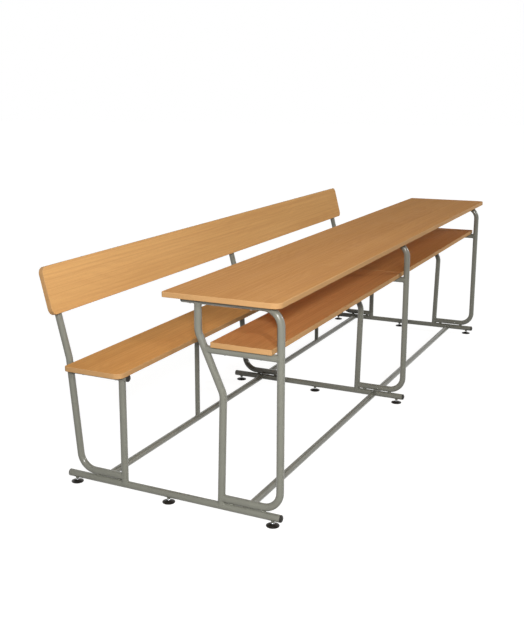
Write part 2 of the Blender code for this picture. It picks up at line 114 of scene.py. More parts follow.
# Black end plugs
plug_insert_length = 0.010
flat_plug_head = 0.0025
domed_plug_head = 0.008
plug_flange = 0.0016
plug_rounding = 0.0006
flat_plug_rounding = 0.0012
flat_plug_face_share = 0.5

# Wood screws with a cross recess; each head is turned a little further than the last
screw_radius = 0.0022
screw_stub = 0.002
screw_head_radius = 0.0045
screw_head_height = 0.0025
screw_head_flange = 0.0003
screw_head_sink = 0.0005
screw_turn_step = 0.9
plate_screw_turn = 0.7
recess_width = 0.0011
recess_length = 0.0052
recess_depth = 0.0014
recess_overrun = 0.001
recess_taper_share = 0.55
top_screw_setbacks = (0.123, 0.070)
seat_screw_setbacks = (0.060, 0.035)
shelf_screw_setbacks = (0.046, 0.043)
shelf_seam_inset = 0.006
backrest_screw_share = 0.28

# Plates on the seat posts
plate_length = 0.070
plate_width = 0.036
plate_thickness = 0.003
plate_corners = (0.004, 0.004)
plate_rounding = 0.0006
plate_screw_share = 0.34

# Levelling feet
stem_radius = 0.004
stem_clearance = 0.0005
stem_top_height = 0.038
thread_pitch = 0.00125
thread_depth = 0.0006
hex_radius = 0.0064
hex_thickness = 0.0024
hex_clearance = 0.0018
hex_chamfer = 0.0005
pad_radius = 0.022
pad_edge = 0.001
pad_ring_width = 0.003
pad_ring_top_width = 0.0035
pad_hollow_height = 0.0006
pad_hollow_share = 0.6
pad_rim_top = 0.003
pad_rim_rounding = 0.0008
pad_rim_angle = 65.0
pad_hub_radius = 0.008
pad_hub_top = 0.008
pad_flare_width = 0.0012
pad_flare_drop = 0.0009
pad_hub_edge_width = 0.0008
pad_hub_edge_drop = 0.0004
pad_socket_bottom = 0.004
boss_top_radius = 0.007
boss_bottom_radius = 0.0055
boss_rounding = 0.0008
front_foot_inset = 0.027
rear_foot_inset = 0.027
middle_foot_share = 0.505

# Weld beads
bead_radius = 0.0019
bead_sink = 0.0005
bead_pitch = 0.0030
bead_ripple = 0.10
bead_start_share = 0.999
flat_face_radius = 0.5
tack_length = 0.014
tack_radius = 0.0030
tack_offset = 0.0042
tack_bluntness = 4
tack_end_swell = 0.0004
weld_sink = 0.0002
desk_tack_places = (0.080, 0.195)
bench_tack_places = (0.636, 0.722)

# How finely round shapes are cut up
tube_sides = 32
bead_sides = 8
bead_rings = 120
tack_sides = 12
tack_steps = 28
corner_steps = 10
small_corner_steps = 5
rounding_steps = 4
plug_rounding_steps = 3
flat_plug_steps = 5
dome_steps = 12
screw_sides = 32
screw_crown_steps = 10
hex_points = 36
bend_step = math.radians(5.0)
least_bend_steps = 3
smooth_angle = math.radians(40.0)
turned_sides = 48
thread_sides = 24
thread_steps = 6

# The camera, fitted to edges measured in the photograph
camera_place = (-3.834128, -1.534186, 1.372037)
camera_yaw = math.radians(-61.892)
camera_pitch = math.radians(12.507)
camera_roll = math.radians(0.525)
image_width = 524.0
image_height = 644.0
focal_pixels = 922.151
centre_column = 212.071
centre_row = 293.907
sensor_size = 36.0
clip_near = 0.1
clip_far = 100.0

# Sizes that follow from those above
bay = board_length / 2.0 - end_overhang
frame_places = (("near", -bay), ("middle", 0.0), ("far", bay))
foot_tube_height = foot_tube_clearance + tube_radius
lower_tube_height = foot_tube_height + 2.0 * tube_radius + lower_tube_gap
top_bottom = desk_height - board_thickness
seat_bottom = seat_height - board_thickness
top_tube_height = top_bottom - gap - tube_radius
shelf_height = top_bottom - shelf_space
shelf_bottom = shelf_height - board_thickness
shelf_tube_height = shelf_bottom - gap - tube_radius
seat_tube_height = seat_bottom - gap - tube_radius
top_tube_end_place = top_depth - top_tube_rear_setback
rear_leg_top_place = top_depth - rear_leg_rear_setback
rear_leg_foot_place = rear_leg_top_place - rear_leg_step
desk_rail_place = rear_leg_foot_place * desk_rail_share
shelf_rear_place = rear_leg_top_place - shelf_rear_gap
shelf_depth = shelf_rear_place - shelf_front_setback
seat_front_place = top_depth + seat_front_gap
seat_rear_place = seat_front_place + seat_depth
bench_leg_place = seat_front_place + bench_leg_setback
bench_rail_place = seat_front_place + bench_rail_setback
seat_tube_end_place = seat_front_place + seat_tube_end_setback
knee_place = seat_rear_place + upright_setback
knee_height = seat_height + upright_knee_rise
upper_knee_height = shelf_tube_height + upper_knee_rise
lower_knee_height = upper_knee_height - knee_spacing
backrest_height = seat_height + backrest_rise
shelf_board_length = bay + shelf_overhang - shelf_seam / 2.0
post_places = (("near", -bay / 2.0 + post_offset), ("far", bay / 2.0 + post_offset))
hex_bottom = pad_hub_top + gap
hex_top = hex_bottom + hex_thickness
boss_bottom = hex_top + hex_clearance
boss_top = foot_tube_clearance + tube_radius / 3.0


def lower_upright_place(height):
    """Depth of the upright's axis at a height below its knee."""
    return knee_place + (height - knee_height) * math.tan(lower_lean)


def upper_upright_place(height):
    """Depth of the upright's axis at a height above its knee."""
    return knee_place + (height - knee_height) * math.tan(upper_lean)


def rear_leg_place(height):
    """Depth of the rear desk leg's axis at a height below its lower knee."""
    return rear_leg_foot_place - height * math.tan(rear_leg_lean)


half_backrest = backrest_width / 2.0
upright_top_height = backrest_height + (half_backrest - upright_top_margin) * math.cos(upper_lean)
upright_top_place = upper_upright_place(upright_top_height)
foot_rear_place = lower_upright_place(lower_tube_height) + foot_rear_reach
front_foot_place = foot_front_place + front_foot_inset
rear_foot_place = foot_rear_place - rear_foot_inset
middle_foot_place = front_foot_place + middle_foot_share * (rear_foot_place - front_foot_place)
foot_places = (("front", front_foot_place), ("middle", middle_foot_place), ("rear", rear_foot_place))

across_frame = Vector((1.0, 0.0, 0.0))
depth_way = Vector((0.0, 1.0, 0.0))
upward = Vector((0.0, 0.0, 1.0))
backrest_normal = Vector((0.0, -math.cos(upper_lean), math.sin(upper_lean)))
backrest_rise_way = Vector((0.0, math.sin(upper_lean), math.cos(upper_lean)))


def at(along, place, height):
    """World point from a place along the length, a depth from the desk's edge and a height."""
    return Vector((along, front_edge + place, height))


# Materials

class Nodes:
    """A short way to write the node tree of a material or of the world."""

    def __init__(self, owner):
        owner.use_nodes = True
        self.owner = owner
        self.tree = owner.node_tree

    def add(self, kind, inputs=None, **settings):
        node = self.tree.nodes.new(kind)
        for key, value in settings.items():
            setattr(node, key, value)
        for key, value in (inputs or {}).items():
            self.put(node, key, value)
        return node

    def put(self, node, key, value):
        if isinstance(value, bpy.types.NodeSocket):
            self.tree.links.new(value, node.inputs[key])
        else:
            node.inputs[key].default_value = value

    def place(self):
        return self.add("ShaderNodeTexCoord").outputs["Object"]

    def stretch(self, vector, scale, offset=(0.0, 0.0, 0.0)):
        return self.add(
            "ShaderNodeMapping", {"Vector": vector, "Scale": scale, "Location": offset}
        ).outputs["Vector"]

    def noise(self, vector, scale=1.0, detail=2.0, roughness=0.5):
        return self.add("ShaderNodeTexNoise", {
            "Vector": vector, "Scale": scale, "Detail": detail, "Roughness": roughness,
        }).outputs["Fac"]

    def ramp(self, factor, stops):
        node = self.add("ShaderNodeValToRGB", {"Fac": factor})
        elements = node.color_ramp.elements
        while len(elements) < len(stops):
            elements.new(0.5)
        for element, (position, shade) in zip(elements, stops):
            element.position = position
            element.color = (*shade, 1.0)
        return node.outputs["Color"]

    def span(self, value, low, high, to_low=0.0, to_high=1.0):
        return self.add("ShaderNodeMapRange", {
            "Value": value, "From Min": low, "From Max": high, "To Min": to_low, "To Max": to_high,
        }).outputs["Result"]

    def maths(self, operation, first, second):
        return self.add("ShaderNodeMath", {0: first, 1: second}, operation=operation).outputs["Value"]

    def plus(self, first, second):
        return self.maths("ADD", first, second)

    def times(self, first, second):
        return self.maths("MULTIPLY", first, second)

    def mix(self, factor, first, shade, blend="MIX"):
        return self.add(
            "ShaderNodeMix", {0: factor, 6: first, 7: (*shade, 1.0)}, data_type="RGBA", blend_type=blend
        ).outputs[2]

    def bump(self, height, strength, distance):
        return self.add("ShaderNodeBump", {
            "Height": height, "Strength": strength, "Distance": distance,
        }).outputs["Normal"]

    def background_rays(self):
        """1 for what shows the background: camera, glossy and transmission rays."""
        path = self.add("ShaderNodeLightPath")
        shown = path.outputs["Is Camera Ray"]
        for name in ("Is Glossy Ray", "Is Transmission Ray"):
            shown = self.maths("MAXIMUM", shown, path.outputs[name])
        return shown

    def surface(self, **values):
        """Set a material's shader, and give the material."""
        shader = self.tree.nodes["Principled BSDF"]
        for key, value in values.items():
            self.put(shader, key.replace("_", " "), value)
        return self.owner


def laminate_material(name, tone_and_painted_light, offset, ring_count, ring_drift, ring_depth):
    """Beech laminate with its grain along X: growth lines, streaks and fine flecks.

    The tint gives one board its own tone, together with light and shade painted into it, and the
    offset its own place in the grain.  The growth lines have a count to the metre, a drift in
    lines and a depth of colour.
    """
    nodes = Nodes(bpy.data.materials.new(name))
    place = nodes.stretch(nodes.place(), (1.0, 1.0, 1.0), offset)
    drift = nodes.noise(nodes.stretch(place, (0.9, 5.0, 5.0)), 1.0, 2.0, 0.5)
    wander = nodes.noise(nodes.stretch(place, (2.2, 16.0, 16.0), (3.1, 1.7, 0.4)), 1.0, 3.0, 0.5)
    parts = nodes.add("ShaderNodeSeparateXYZ", {"Vector": place})
    across = nodes.plus(parts.outputs["Y"], nodes.times(parts.outputs["Z"], 0.8))
    phase = nodes.plus(nodes.times(across, ring_count), nodes.times(drift, ring_drift))
    phase = nodes.plus(phase, nodes.times(wander, 0.1 * ring_drift))
    rings = nodes.span(nodes.maths("SINE", nodes.times(phase, 2.0 * math.pi), 0.0), -1.0, 1.0)
    streaks = nodes.noise(nodes.stretch(place, (0.9, 190.0, 190.0)), 1.0, 3.0, 0.6)
    fine = nodes.noise(nodes.stretch(place, (14.0, 900.0, 900.0)), 1.0, 2.0, 0.6)
    flecks = nodes.noise(nodes.stretch(place, (70.0, 1300.0, 1300.0), (0.3, 0.9, 0.2)), 1.0, 1.0, 0.5)
    patches = nodes.noise(nodes.stretch(place, (1.1, 7.0, 7.0), (7.3, 2.1, 5.0)), 1.0, 2.0, 0.5)
    base = nodes.ramp(patches, (
        (0.30, (0.642, 0.326, 0.112)), (0.52, (0.676, 0.348, 0.122)), (0.74, (0.708, 0.372, 0.134)),
    ))
    base = nodes.mix(nodes.span(rings, 0.25, 1.0, 0.0, ring_depth), base, (0.534, 0.238, 0.079))
    base = nodes.mix(nodes.span(streaks, 0.42, 0.66, 0.0, 0.44), base, (0.512, 0.225, 0.076))
    base = nodes.mix(nodes.span(fine, 0.52, 0.70, 0.0, 0.16), base, (0.790, 0.440, 0.179))
    base = nodes.mix(nodes.span(flecks, 0.60, 0.74, 0.0, 0.30), base, (0.392, 0.160, 0.049))
    base = nodes.mix(1.0, base, tone_and_painted_light, "MULTIPLY")
    gloss = nodes.noise(nodes.stretch(place, (9.0, 30.0, 30.0)), 1.0, 3.0, 0.6)
    grain = nodes.plus(nodes.times(fine, 0.6), nodes.times(streaks, 0.4))
    return nodes.surface(
        Base_Color=base, Roughness=nodes.span(gloss, 0.3, 0.7, 0.62, 0.74),
        Normal=nodes.bump(grain, 0.14, 0.0003), Specular_IOR_Level=0.03,
    )


def band_material():
    """The lighter edge band: grain that runs round the board, with faint upright ticks."""
    nodes = Nodes(bpy.data.materials.new("beech_edge_band"))
    place = nodes.place()
    lines = nodes.noise(nodes.stretch(place, (4.0, 4.0, 900.0)), 1.0, 3.0, 0.6)
    ticks = nodes.noise(nodes.stretch(place, (420.0, 420.0, 30.0), (0.2, 0.7, 0.1)), 1.0, 2.0, 0.5)
    patches = nodes.noise(nodes.stretch(place, (5.0, 5.0, 20.0)), 1.0, 2.0, 0.5)
    base = nodes.ramp(patches, (
        (0.30, (0.590, 0.328, 0.136)), (0.70, (0.668, 0.384, 0.168)),
    ))
    base = nodes.mix(nodes.span(lines, 0.45, 0.70, 0.0, 0.22), base, (0.520, 0.278, 0.112))
    base = nodes.mix(nodes.span(ticks, 0.55, 0.75, 0.0, 0.16), base, (0.480, 0.230, 0.082))
    return nodes.surface(
        Base_Color=base, Roughness=nodes.span(patches, 0.3, 0.7, 0.50, 0.62),
        Normal=nodes.bump(lines, 0.12, 0.0003), Specular_IOR_Level=0.05,
    )


def paint_material():
    """Greenish grey powder coat with orange peel and slightly rubbed, dusty patches."""
    nodes = Nodes(bpy.data.materials.new("grey_powder_coat"))
    place = nodes.place()
    peel = nodes.noise(place, 900.0, 2.0, 0.5)
    patches = nodes.noise(place, 14.0, 4.0, 0.6)
    specks = nodes.noise(place, 2300.0, 1.0, 0.5)
    base = nodes.ramp(patches, (
        (0.30, (0.227, 0.226, 0.187)), (0.55, (0.240, 0.239, 0.198)), (0.75, (0.250, 0.249, 0.207)),
    ))
    base = nodes.mix(nodes.span(specks, 0.60, 0.72, 0.0, 0.14), base, (0.160, 0.163, 0.138))
    return nodes.surface(
        Base_Color=base, Roughness=nodes.span(patches, 0.3, 0.7, 0.18, 0.24),
        Normal=nodes.bump(peel, 0.05, 0.0002), Specular_IOR_Level=0.30,
        Coat_Weight=0.12, Coat_Roughness=0.10,
    )


def plastic_material():
    """Black moulded plastic with a fine satin grain."""
    nodes = Nodes(bpy.data.materials.new("black_moulded_plastic"))
    place = nodes.place()
    grain = nodes.noise(place, 1800.0, 2.0, 0.5)
    patches = nodes.noise(place, 60.0, 3.0, 0.6)
    base = nodes.ramp(patches, ((0.35, (0.012, 0.010, 0.008)), (0.70, (0.026, 0.021, 0.016))))
    return nodes.surface(
        Base_Color=base, Roughness=nodes.span(patches, 0.3, 0.7, 0.34, 0.50),
        Normal=nodes.bump(grain, 0.14, 0.0002), Specular_IOR_Level=0.30,
    )


def zinc_material():
    """Bright zinc plating with faint brushing and duller spots."""
    nodes = Nodes(bpy.data.materials.new("bright_zinc_plate"))
    place = nodes.place()
    brushing = nodes.noise(nodes.stretch(place, (300.0, 300.0, 2500.0)), 1.0, 2.0, 0.5)
    spots = nodes.noise(place, 220.0, 3.0, 0.6)
    base = nodes.ramp(spots, ((0.35, (0.60, 0.62, 0.64)), (0.70, (0.78, 0.79, 0.80))))
    return nodes.surface(
        Base_Color=base, Metallic=1.0, Roughness=nodes.span(spots, 0.3, 0.7, 0.16, 0.34),
        Normal=nodes.bump(brushing, 0.10, 0.0002),
    )


# Each board has a tint and a place in the grain of its own; the tints also hold painted light
# and shade: the seat and the backrest are lighter, partly their own tone and partly painted
# light, and the far shelf is darker than the near one with painted shade; the backrest's lines are wider
board_lines = (60.0, 22.0, 0.20)
backrest_lines = (46.0, 14.0, 0.16)
laminates = {
    "desk_top": laminate_material("beech_top", (0.98, 0.96, 0.97), (0.0, 0.0, 0.0), *board_lines),
    "seat": laminate_material("beech_seat", (1.14, 1.11, 1.00), (1.7, 0.3, 0.0), *board_lines),
    "backrest": laminate_material("beech_back", (1.12, 1.22, 1.32), (4.1, 0.0, 0.0), *backrest_lines),
    "near_shelf": laminate_material("beech_shelf", (1.06, 0.95, 0.93), (2.9, 0.6, 0.0), *board_lines),
    # The far shelf's darker tint is painted shade: it is the same laminate as the near shelf
    "far_shelf": laminate_material("beech_far_shelf", (0.92, 0.80, 0.74), (5.3, 1.1, 0.0), *board_lines),
}
band = band_material()
paint = paint_material()
plastic = plastic_material()
zinc = zinc_material()


# Mesh helpers

def mesh_from(shape, name, *materials):
    """Make a smooth mesh from a bmesh, with sharp edges at its corners."""
    mesh = bpy.data.meshes.new(name)
    shape.to_mesh(mesh)
    shape.free()
    for material in materials:
        mesh.materials.append(material)
    mesh.shade_smooth()
    mesh.set_sharp_from_angle(angle=smooth_angle)
    return mesh


def new_mesh(name, build, *materials):
    """Make a mesh from a function that fills a bmesh, with faces pointing out."""
    shape = bmesh.new()
    build(shape)
    bmesh.ops.recalc_face_normals(shape, faces=shape.faces)
    return mesh_from(shape, name, *materials)


def link_object(name, data):
    """Make an object in the scene's collection."""
    item = bpy.data.objects.new(name, data)
    bpy.context.scene.collection.objects.link(item)
    return item


def add_piece(name, mesh, place, nodes=(), body="frame"):
    """Link a piece, place it, and let it ride on a body and stand for CAD nodes."""
    piece = link_object(name, mesh)
    piece.matrix_world = place
    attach(piece, body)
    if nodes:
        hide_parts(*nodes)


def add_rings(shape, rings, closed=False):
    """Skin rings of points, from the first to the last, or back to the first if closed."""
    loops = [[shape.verts.new(point) for point in ring] for ring in rings]
    pairs = list(zip(loops, loops[1:]))
    if closed:
        pairs.append((loops[-1], loops[0]))
    faces = []
    for first, second in pairs:
        count = len(first)
        row = []
        for index in range(count):
            after = (index + 1) % count
            row.append(shape.faces.new((first[index], first[after], second[after], second[index])))
        faces.append(row)
    return loops, faces


def add_solid(shape, rings):
    """Skin rings of points and close both ends with a face; gives the faces of the sides."""
    loops, faces = add_rings(shape, rings)
    shape.faces.new(loops[0][::-1])
    shape.faces.new(loops[-1])
    return faces


def fan(shape, loop, centre):
    """Close an end with triangles to a centre point."""
    middle = shape.verts.new(centre)
    for first, second in zip(loop, loop[1:] + loop[:1]):
        shape.faces.new((first, second, middle))


def circle(centre, across, over, radius, count):
    """A ring of points round a centre, in the plane of two unit directions."""
    turns = [2.0 * math.pi * step / count for step in range(count)]
    return [
        centre + across * (radius * math.cos(turn)) + over * (radius * math.sin(turn)) for turn in turns
    ]


def section(centre, tangent, side, radius):
    """A ring of points round a path's centre, square to its tangent."""
    across = side.normalized() * radius
    over = tangent.normalized().cross(across)
    ring = []
    for index in range(tube_sides):
        turn = 2.0 * math.pi * index / tube_sides
        ring.append(centre + across * math.cos(turn) + over * math.sin(turn))
    return ring


def bent_path(corners, radii):
    """Straight runs between corner points, with an arc of the given radius at each bend."""
    path = [(corners[0], corners[1] - corners[0])]
    for before, corner, after, radius in zip(corners, corners[1:], corners[2:], radii):
        arrive = (corner - before).normalized()
        leave = (after - corner).normalized()
        angle = arrive.angle(leave)
        reach = radius * math.tan(angle / 2.0)
        axis = arrive.cross(leave).normalized()
        start = corner - arrive * reach
        centre = start + axis.cross(arrive) * radius
        steps = max(least_bend_steps, round(angle / bend_step))
        for index in range(steps + 1):
            turn = Matrix.Rotation(angle * index / steps, 3, axis)
            path.append((centre + turn @ (start - centre), turn @ arrive))
    path.append((corners[-1], corners[-1] - corners[-2]))
    return path


def straight_path(start, end):
    """A path with no bend, as bent_path gives it."""
    tangent = end - start
    return [(start, tangent), (end, tangent)]


class Round:
    """The round of a neighbouring tube: a point on its axis, the axis's way and its radius."""

    def __init__(self, point, way, radius=tube_radius):
        self.point = point
        self.way = way.normalized()
        self.radius = radius

    def reach(self, start, way, radius):
        """How far a line goes from its start, along a way, to the near side of the round."""
        apart = start - self.point
        flat_way = way - self.way * way.dot(self.way)
        flat_apart = apart - self.way * apart.dot(self.way)
        square = flat_way.dot(flat_way)
        half = flat_way.dot(flat_apart)
        rest = flat_apart.dot(flat_apart) - radius * radius
        root = half * half - square * rest
        return (-half - math.sqrt(max(root, 0.0))) / square

    def normal(self, point):
        """The way out of the round at a point on it."""
        apart = point - self.point
        return (apart - self.way * apart.dot(self.way)).normalized()


def sweep(shape, path, side, radius, first=None, last=None):
    """A round tube along a path; an end that meets a neighbour's round is cut to fit it."""
    rings = [section(point, tangent, side, radius) for point, tangent in path]
    centres = []
    for index, sign, neighbour in ((0, -1.0, first), (-1, 1.0, last)):
        centre, tangent = path[index]
        if neighbour is not None:
            way = tangent.normalized() * sign
            inner = neighbour.radius - weld_sink
            rings[index] = [point + way * neighbour.reach(point, way, inner) for point in rings[index]]
            centre = centre + way * neighbour.reach(centre, way, inner)
        centres.append(centre)
    loops, _ = add_rings(shape, rings)
    fan(shape, loops[0][::-1], centres[0])
    fan(shape, loops[-1], centres[1])


def weld_bead(shape, end, way, neighbour, side, radius):
    """A rippled bead round the joint of a tube's end and its neighbour's round."""
    way = way.normalized()
    across = side.normalized()
    over = way.cross(across)
    centres, outs = [], []
    for index in range(bead_rings):
        turn = 2.0 * math.pi * index / bead_rings
        out = across * math.cos(turn) + over * math.sin(turn)
        start = end + out * (radius * bead_start_share)
        point = start + way * neighbour.reach(start, way, neighbour.radius)
        both = (out + neighbour.normal(point)).normalized()
        centres.append(point - both * bead_sink)
        outs.append(both)
    rings = []
    travelled = 0.0
    for index, (centre, out) in enumerate(zip(centres, outs)):
        before = centres[index - 1]
        after = centres[(index + 1) % bead_rings]
        travelled += (centre - before).length
        tangent = (after - before).normalized()
        outward = (out - tangent * out.dot(tangent)).normalized()
        sideways = tangent.cross(outward)
        size = bead_radius * (1.0 + bead_ripple * math.sin(2.0 * math.pi * travelled / bead_pitch))
        rings.append(circle(centre, outward, sideways, size, bead_sides))
    add_rings(shape, rings, closed=True)


def tack_bead(shape, along, place):
    """A short bead in the groove between a foot tube and the tube above it."""
    height = foot_tube_height + tube_radius + lower_tube_gap / 2.0
    rings = []
    for index in range(tack_steps + 1):
        share = index / tack_steps
        swell = math.sqrt(max(1.0 - (2.0 * share - 1.0) ** tack_bluntness, tack_end_swell))
        ripple = 1.0 + bead_ripple * math.sin(2.0 * math.pi * share * tack_length / bead_pitch)
        centre = at(along, place + (share - 0.5) * tack_length, height)
        rings.append(circle(centre, across_frame, upward, tack_radius * swell * ripple, tack_sides))
    add_solid(shape, rings)


def turned(shape, profile, sides=turned_sides, place=Matrix.Identity(4)):
    """Spin a profile of (radius, height) pairs about Z, with both ends closed."""
    rings = []
    for radius, height in profile:
        rings.append([
            place @ Vector((radius * math.cos(turn), radius * math.sin(turn), height))
            for turn in [2.0 * math.pi * step / sides for step in range(sides)]
        ])
    add_solid(shape, rings)


def arc(centre, radius, start, end, steps):
    """Points of an arc in a profile, from one angle in degrees to another."""
    points = []
    for index in range(steps + 1):
        turn = math.radians(start + (end - start) * index / steps)
        points.append((centre[0] + radius * math.cos(turn), centre[1] + radius * math.sin(turn)))
    return points


def rounded_outline(length, depth, corners, inset, steps):
    """A rectangle about the origin with rounded corners, drawn in by inset.

    The corners are the radius of the front ones, on the -Y side, and that of the rear ones.
    """
    front, rear = corners
    quarters = ((1, 1, rear), (-1, 1, rear), (-1, -1, front), (1, -1, front))
    points = []
    for quarter, (sign_x, sign_y, corner) in enumerate(quarters):
        centre_x = sign_x * (length / 2.0 - corner)
        centre_y = sign_y * (depth / 2.0 - corner)
        radius = corner - inset
        for step in range(steps + 1):
            turn = math.pi / 2.0 * (quarter + step / steps)
            points.append((centre_x + radius * math.cos(turn), centre_y + radius * math.sin(turn)))
    return points


def frame_on(point, direction):
    """A frame with its origin at a point and Z along a direction."""
    turn = upward.rotation_difference(direction)
    return Matrix.Translation(point) @ turn.to_matrix().to_4x4()


# The tubes of one leg frame

slant_start = at(0.0, rear_leg_place(lower_knee_height), lower_knee_height)
slant_end = at(0.0, rear_leg_top_place, upper_knee_height)
slant_share = (shelf_tube_height - slant_start.z) / (slant_end.z - slant_start.z)
slant_meets_shelf = slant_start.lerp(slant_end, slant_share)
lower_upright_way = Vector((0.0, math.sin(lower_lean), math.cos(lower_lean)))

foot_run = straight_path(
    at(0.0, foot_front_place, foot_tube_height), at(0.0, foot_rear_place, foot_tube_height)
)
desk_loop_run = bent_path([
    at(0.0, top_tube_end_place, top_tube_height),
    at(0.0, front_leg_setback, top_tube_height),
    at(0.0, front_leg_setback, lower_tube_height),
    at(0.0, rear_leg_place(lower_tube_height), lower_tube_height),
], (bend_radius, bend_radius))
rear_leg_run = bent_path([
    at(0.0, rear_leg_place(foot_tube_height), foot_tube_height),
    slant_start,
    slant_end,
    at(0.0, rear_leg_top_place, top_tube_height),
], (knee_radius, knee_radius))
upright_run = bent_path([
    at(0.0, bench_leg_place, lower_tube_height),
    at(0.0, lower_upright_place(lower_tube_height), lower_tube_height),
    at(0.0, knee_place, knee_height),
    at(0.0, upright_top_place, upright_top_height),
], (bench_bend_radius, knee_radius))
bench_leg_run = straight_path(
    at(0.0, bench_leg_place, foot_tube_height), at(0.0, bench_leg_place, seat_tube_height)
)
seat_tube_run = straight_path(
    at(0.0, seat_tube_end_place, seat_tube_height),
    at(0.0, lower_upright_place(seat_tube_height), seat_tube_height),
)
shelf_tube_run = straight_path(
    at(0.0, front_leg_setback, shelf_tube_height), slant_meets_shelf,
)

foot_round = Round(at(0.0, 0.0, foot_tube_height), depth_way)
top_round = Round(at(0.0, 0.0, top_tube_height), depth_way)
seat_tube_round = Round(at(0.0, 0.0, seat_tube_height), depth_way)
front_leg_round = Round(at(0.0, front_leg_setback, 0.0), upward)
bench_leg_round = Round(at(0.0, bench_leg_place, 0.0), upward)
rear_leg_round = Round(
    at(0.0, rear_leg_place(0.0), 0.0), Vector((0.0, -math.sin(rear_leg_lean), math.cos(rear_leg_lean)))
)
slant_round = Round(slant_start, slant_end - slant_start)
upright_round = Round(at(0.0, lower_upright_place(seat_tube_height), seat_tube_height), lower_upright_way)


def tube_mesh(name, path, first=None, last=None):
    """A painted tube of a leg frame, with its ends cut to fit the neighbours named."""
    return new_mesh(
        name, lambda shape: sweep(shape, path, across_frame, tube_radius, first, last), paint
    )


def foot_tube_mesh():
    """The foot tube with the three bosses that its feet screw into."""

    def build(shape):
        sweep(shape, foot_run, across_frame, tube_radius)
        bore = stem_radius + stem_clearance
        profile = [(boss_top_radius, boss_top)]
        profile += arc(
            (boss_bottom_radius - boss_rounding, boss_bottom + boss_rounding), boss_rounding,
            0.0, -90.0, rounding_steps,
        )
        profile += [(bore, boss_bottom), (bore, foot_tube_clearance)]
        for _, place in foot_places:
            turned(shape, profile, turned_sides, Matrix.Translation(at(0.0, place, 0.0)))

    return new_mesh("foot_tube", build, paint)


def frame_welds_mesh():
    """Every weld bead of one leg frame."""
    joints = (
        (rear_leg_run[0], -1.0, foot_round), (rear_leg_run[-1], 1.0, top_round),
        (desk_loop_run[-1], 1.0, rear_leg_round), (shelf_tube_run[0], -1.0, front_leg_round),
        (shelf_tube_run[-1], 1.0, slant_round), (bench_leg_run[0], -1.0, foot_round),
        (bench_leg_run[-1], 1.0, seat_tube_round), (upright_run[0], -1.0, bench_leg_round),
        (seat_tube_run[-1], 1.0, upright_round),
    )

    def build(shape):
        for (end, tangent), sign, neighbour in joints:
            weld_bead(shape, end, tangent * sign, neighbour, across_frame, tube_radius)
        for place in desk_tack_places + bench_tack_places:
            for side in (-1.0, 1.0):
                tack_bead(shape, side * tack_offset, place)

    return new_mesh("frame_welds", build, paint)


def plug_start():
    """The start of a plug's profile: its insert, and the rounded edge that meets the tube."""
    insert = tube_radius - tube_wall
    edge = (tube_radius - plug_rounding, plug_rounding)
    return [(insert, -plug_insert_length), (insert, 0.0)] + arc(
        edge, plug_rounding, -90.0, 0.0, plug_rounding_steps
    )


def domed_plug_profile():
    """A plug with a flange and a dome, from the insert to the crown."""
    profile = plug_start() + [(tube_radius, plug_flange)]
    crown = domed_plug_head - plug_flange
    for index in range(1, dome_steps):
        turn = math.pi / 2.0 * index / dome_steps
        profile.append((tube_radius * math.cos(turn), plug_flange + crown * math.sin(turn)))
    return profile


def flat_plug_profile():
    """A plug with a flat head and a rounded rim, from the insert to the face."""
    rim = (tube_radius - flat_plug_rounding, flat_plug_head - flat_plug_rounding)
    profile = plug_start() + arc(rim, flat_plug_rounding, 0.0, 90.0, flat_plug_steps)
    return profile + [(tube_radius * flat_plug_face_share, flat_plug_head)]


def screw_head_mesh():
    """A round head with a cross recess, its flange at z = 0 and its crown below."""

    def head(shape):
        profile = [
            (screw_radius, screw_stub), (screw_radius, 0.0), (screw_head_radius, 0.0),
            (screw_head_radius, -screw_head_flange),
        ]
        for index in range(1, screw_crown_steps):
            turn = math.pi / 2.0 * index / screw_crown_steps
            level = -screw_head_flange - (screw_head_height - screw_head_flange) * math.sin(turn)
            profile.append((screw_head_radius * math.cos(turn), level))
        turned(shape, profile, screw_sides)

    def cross(shape):
        levels = (
            (-screw_head_height - recess_overrun, 1.0),
            (-screw_head_height + recess_depth, recess_taper_share),
        )
        for wide, long in ((recess_width, recess_length), (recess_length, recess_width)):
            rings = []
            for level, share in levels:
                x, y = wide * share / 2.0, long * share / 2.0
                corners = ((x, y), (-x, y), (-x, -y), (x, -y))
                rings.append([Vector((*corner, level)) for corner in corners])
            add_solid(shape, rings)

    body = link_object("screw_body", new_mesh("screw_body", head, zinc))
    tool = link_object("screw_tool", new_mesh("screw_tool", cross, zinc))
    modifier = body.modifiers.new("recess", "BOOLEAN")
    modifier.operation = "DIFFERENCE"
    modifier.solver = "EXACT"
    modifier.use_self = True
    modifier.object = tool
    bpy.context.view_layer.update()
    mesh = bpy.data.meshes.new_from_object(body.evaluated_get(bpy.context.evaluated_depsgraph_get()))
    for item in (body, tool):
        old = item.data
        bpy.data.objects.remove(item)
        bpy.data.meshes.remove(old)
    return mesh


def screws_mesh(name, head, frames):
    """One mesh of screw heads, each in its own frame."""
    shape = bmesh.new()
    for place in frames:
        before = len(shape.verts)
        shape.from_mesh(head)
        shape.verts.ensure_lookup_table()
        for vertex in shape.verts[before:]:
            vertex.co = place @ vertex.co
    return mesh_from(shape, name, zinc)


def head_frame(entry, direction, stack, turn):
    """Where a screw's head sits, under a stack of metal of the given height."""
    seat = entry + direction * (screw_head_sink - stack - gap)
    return frame_on(seat, direction) @ Matrix.Rotation(turn, 4, "Z")


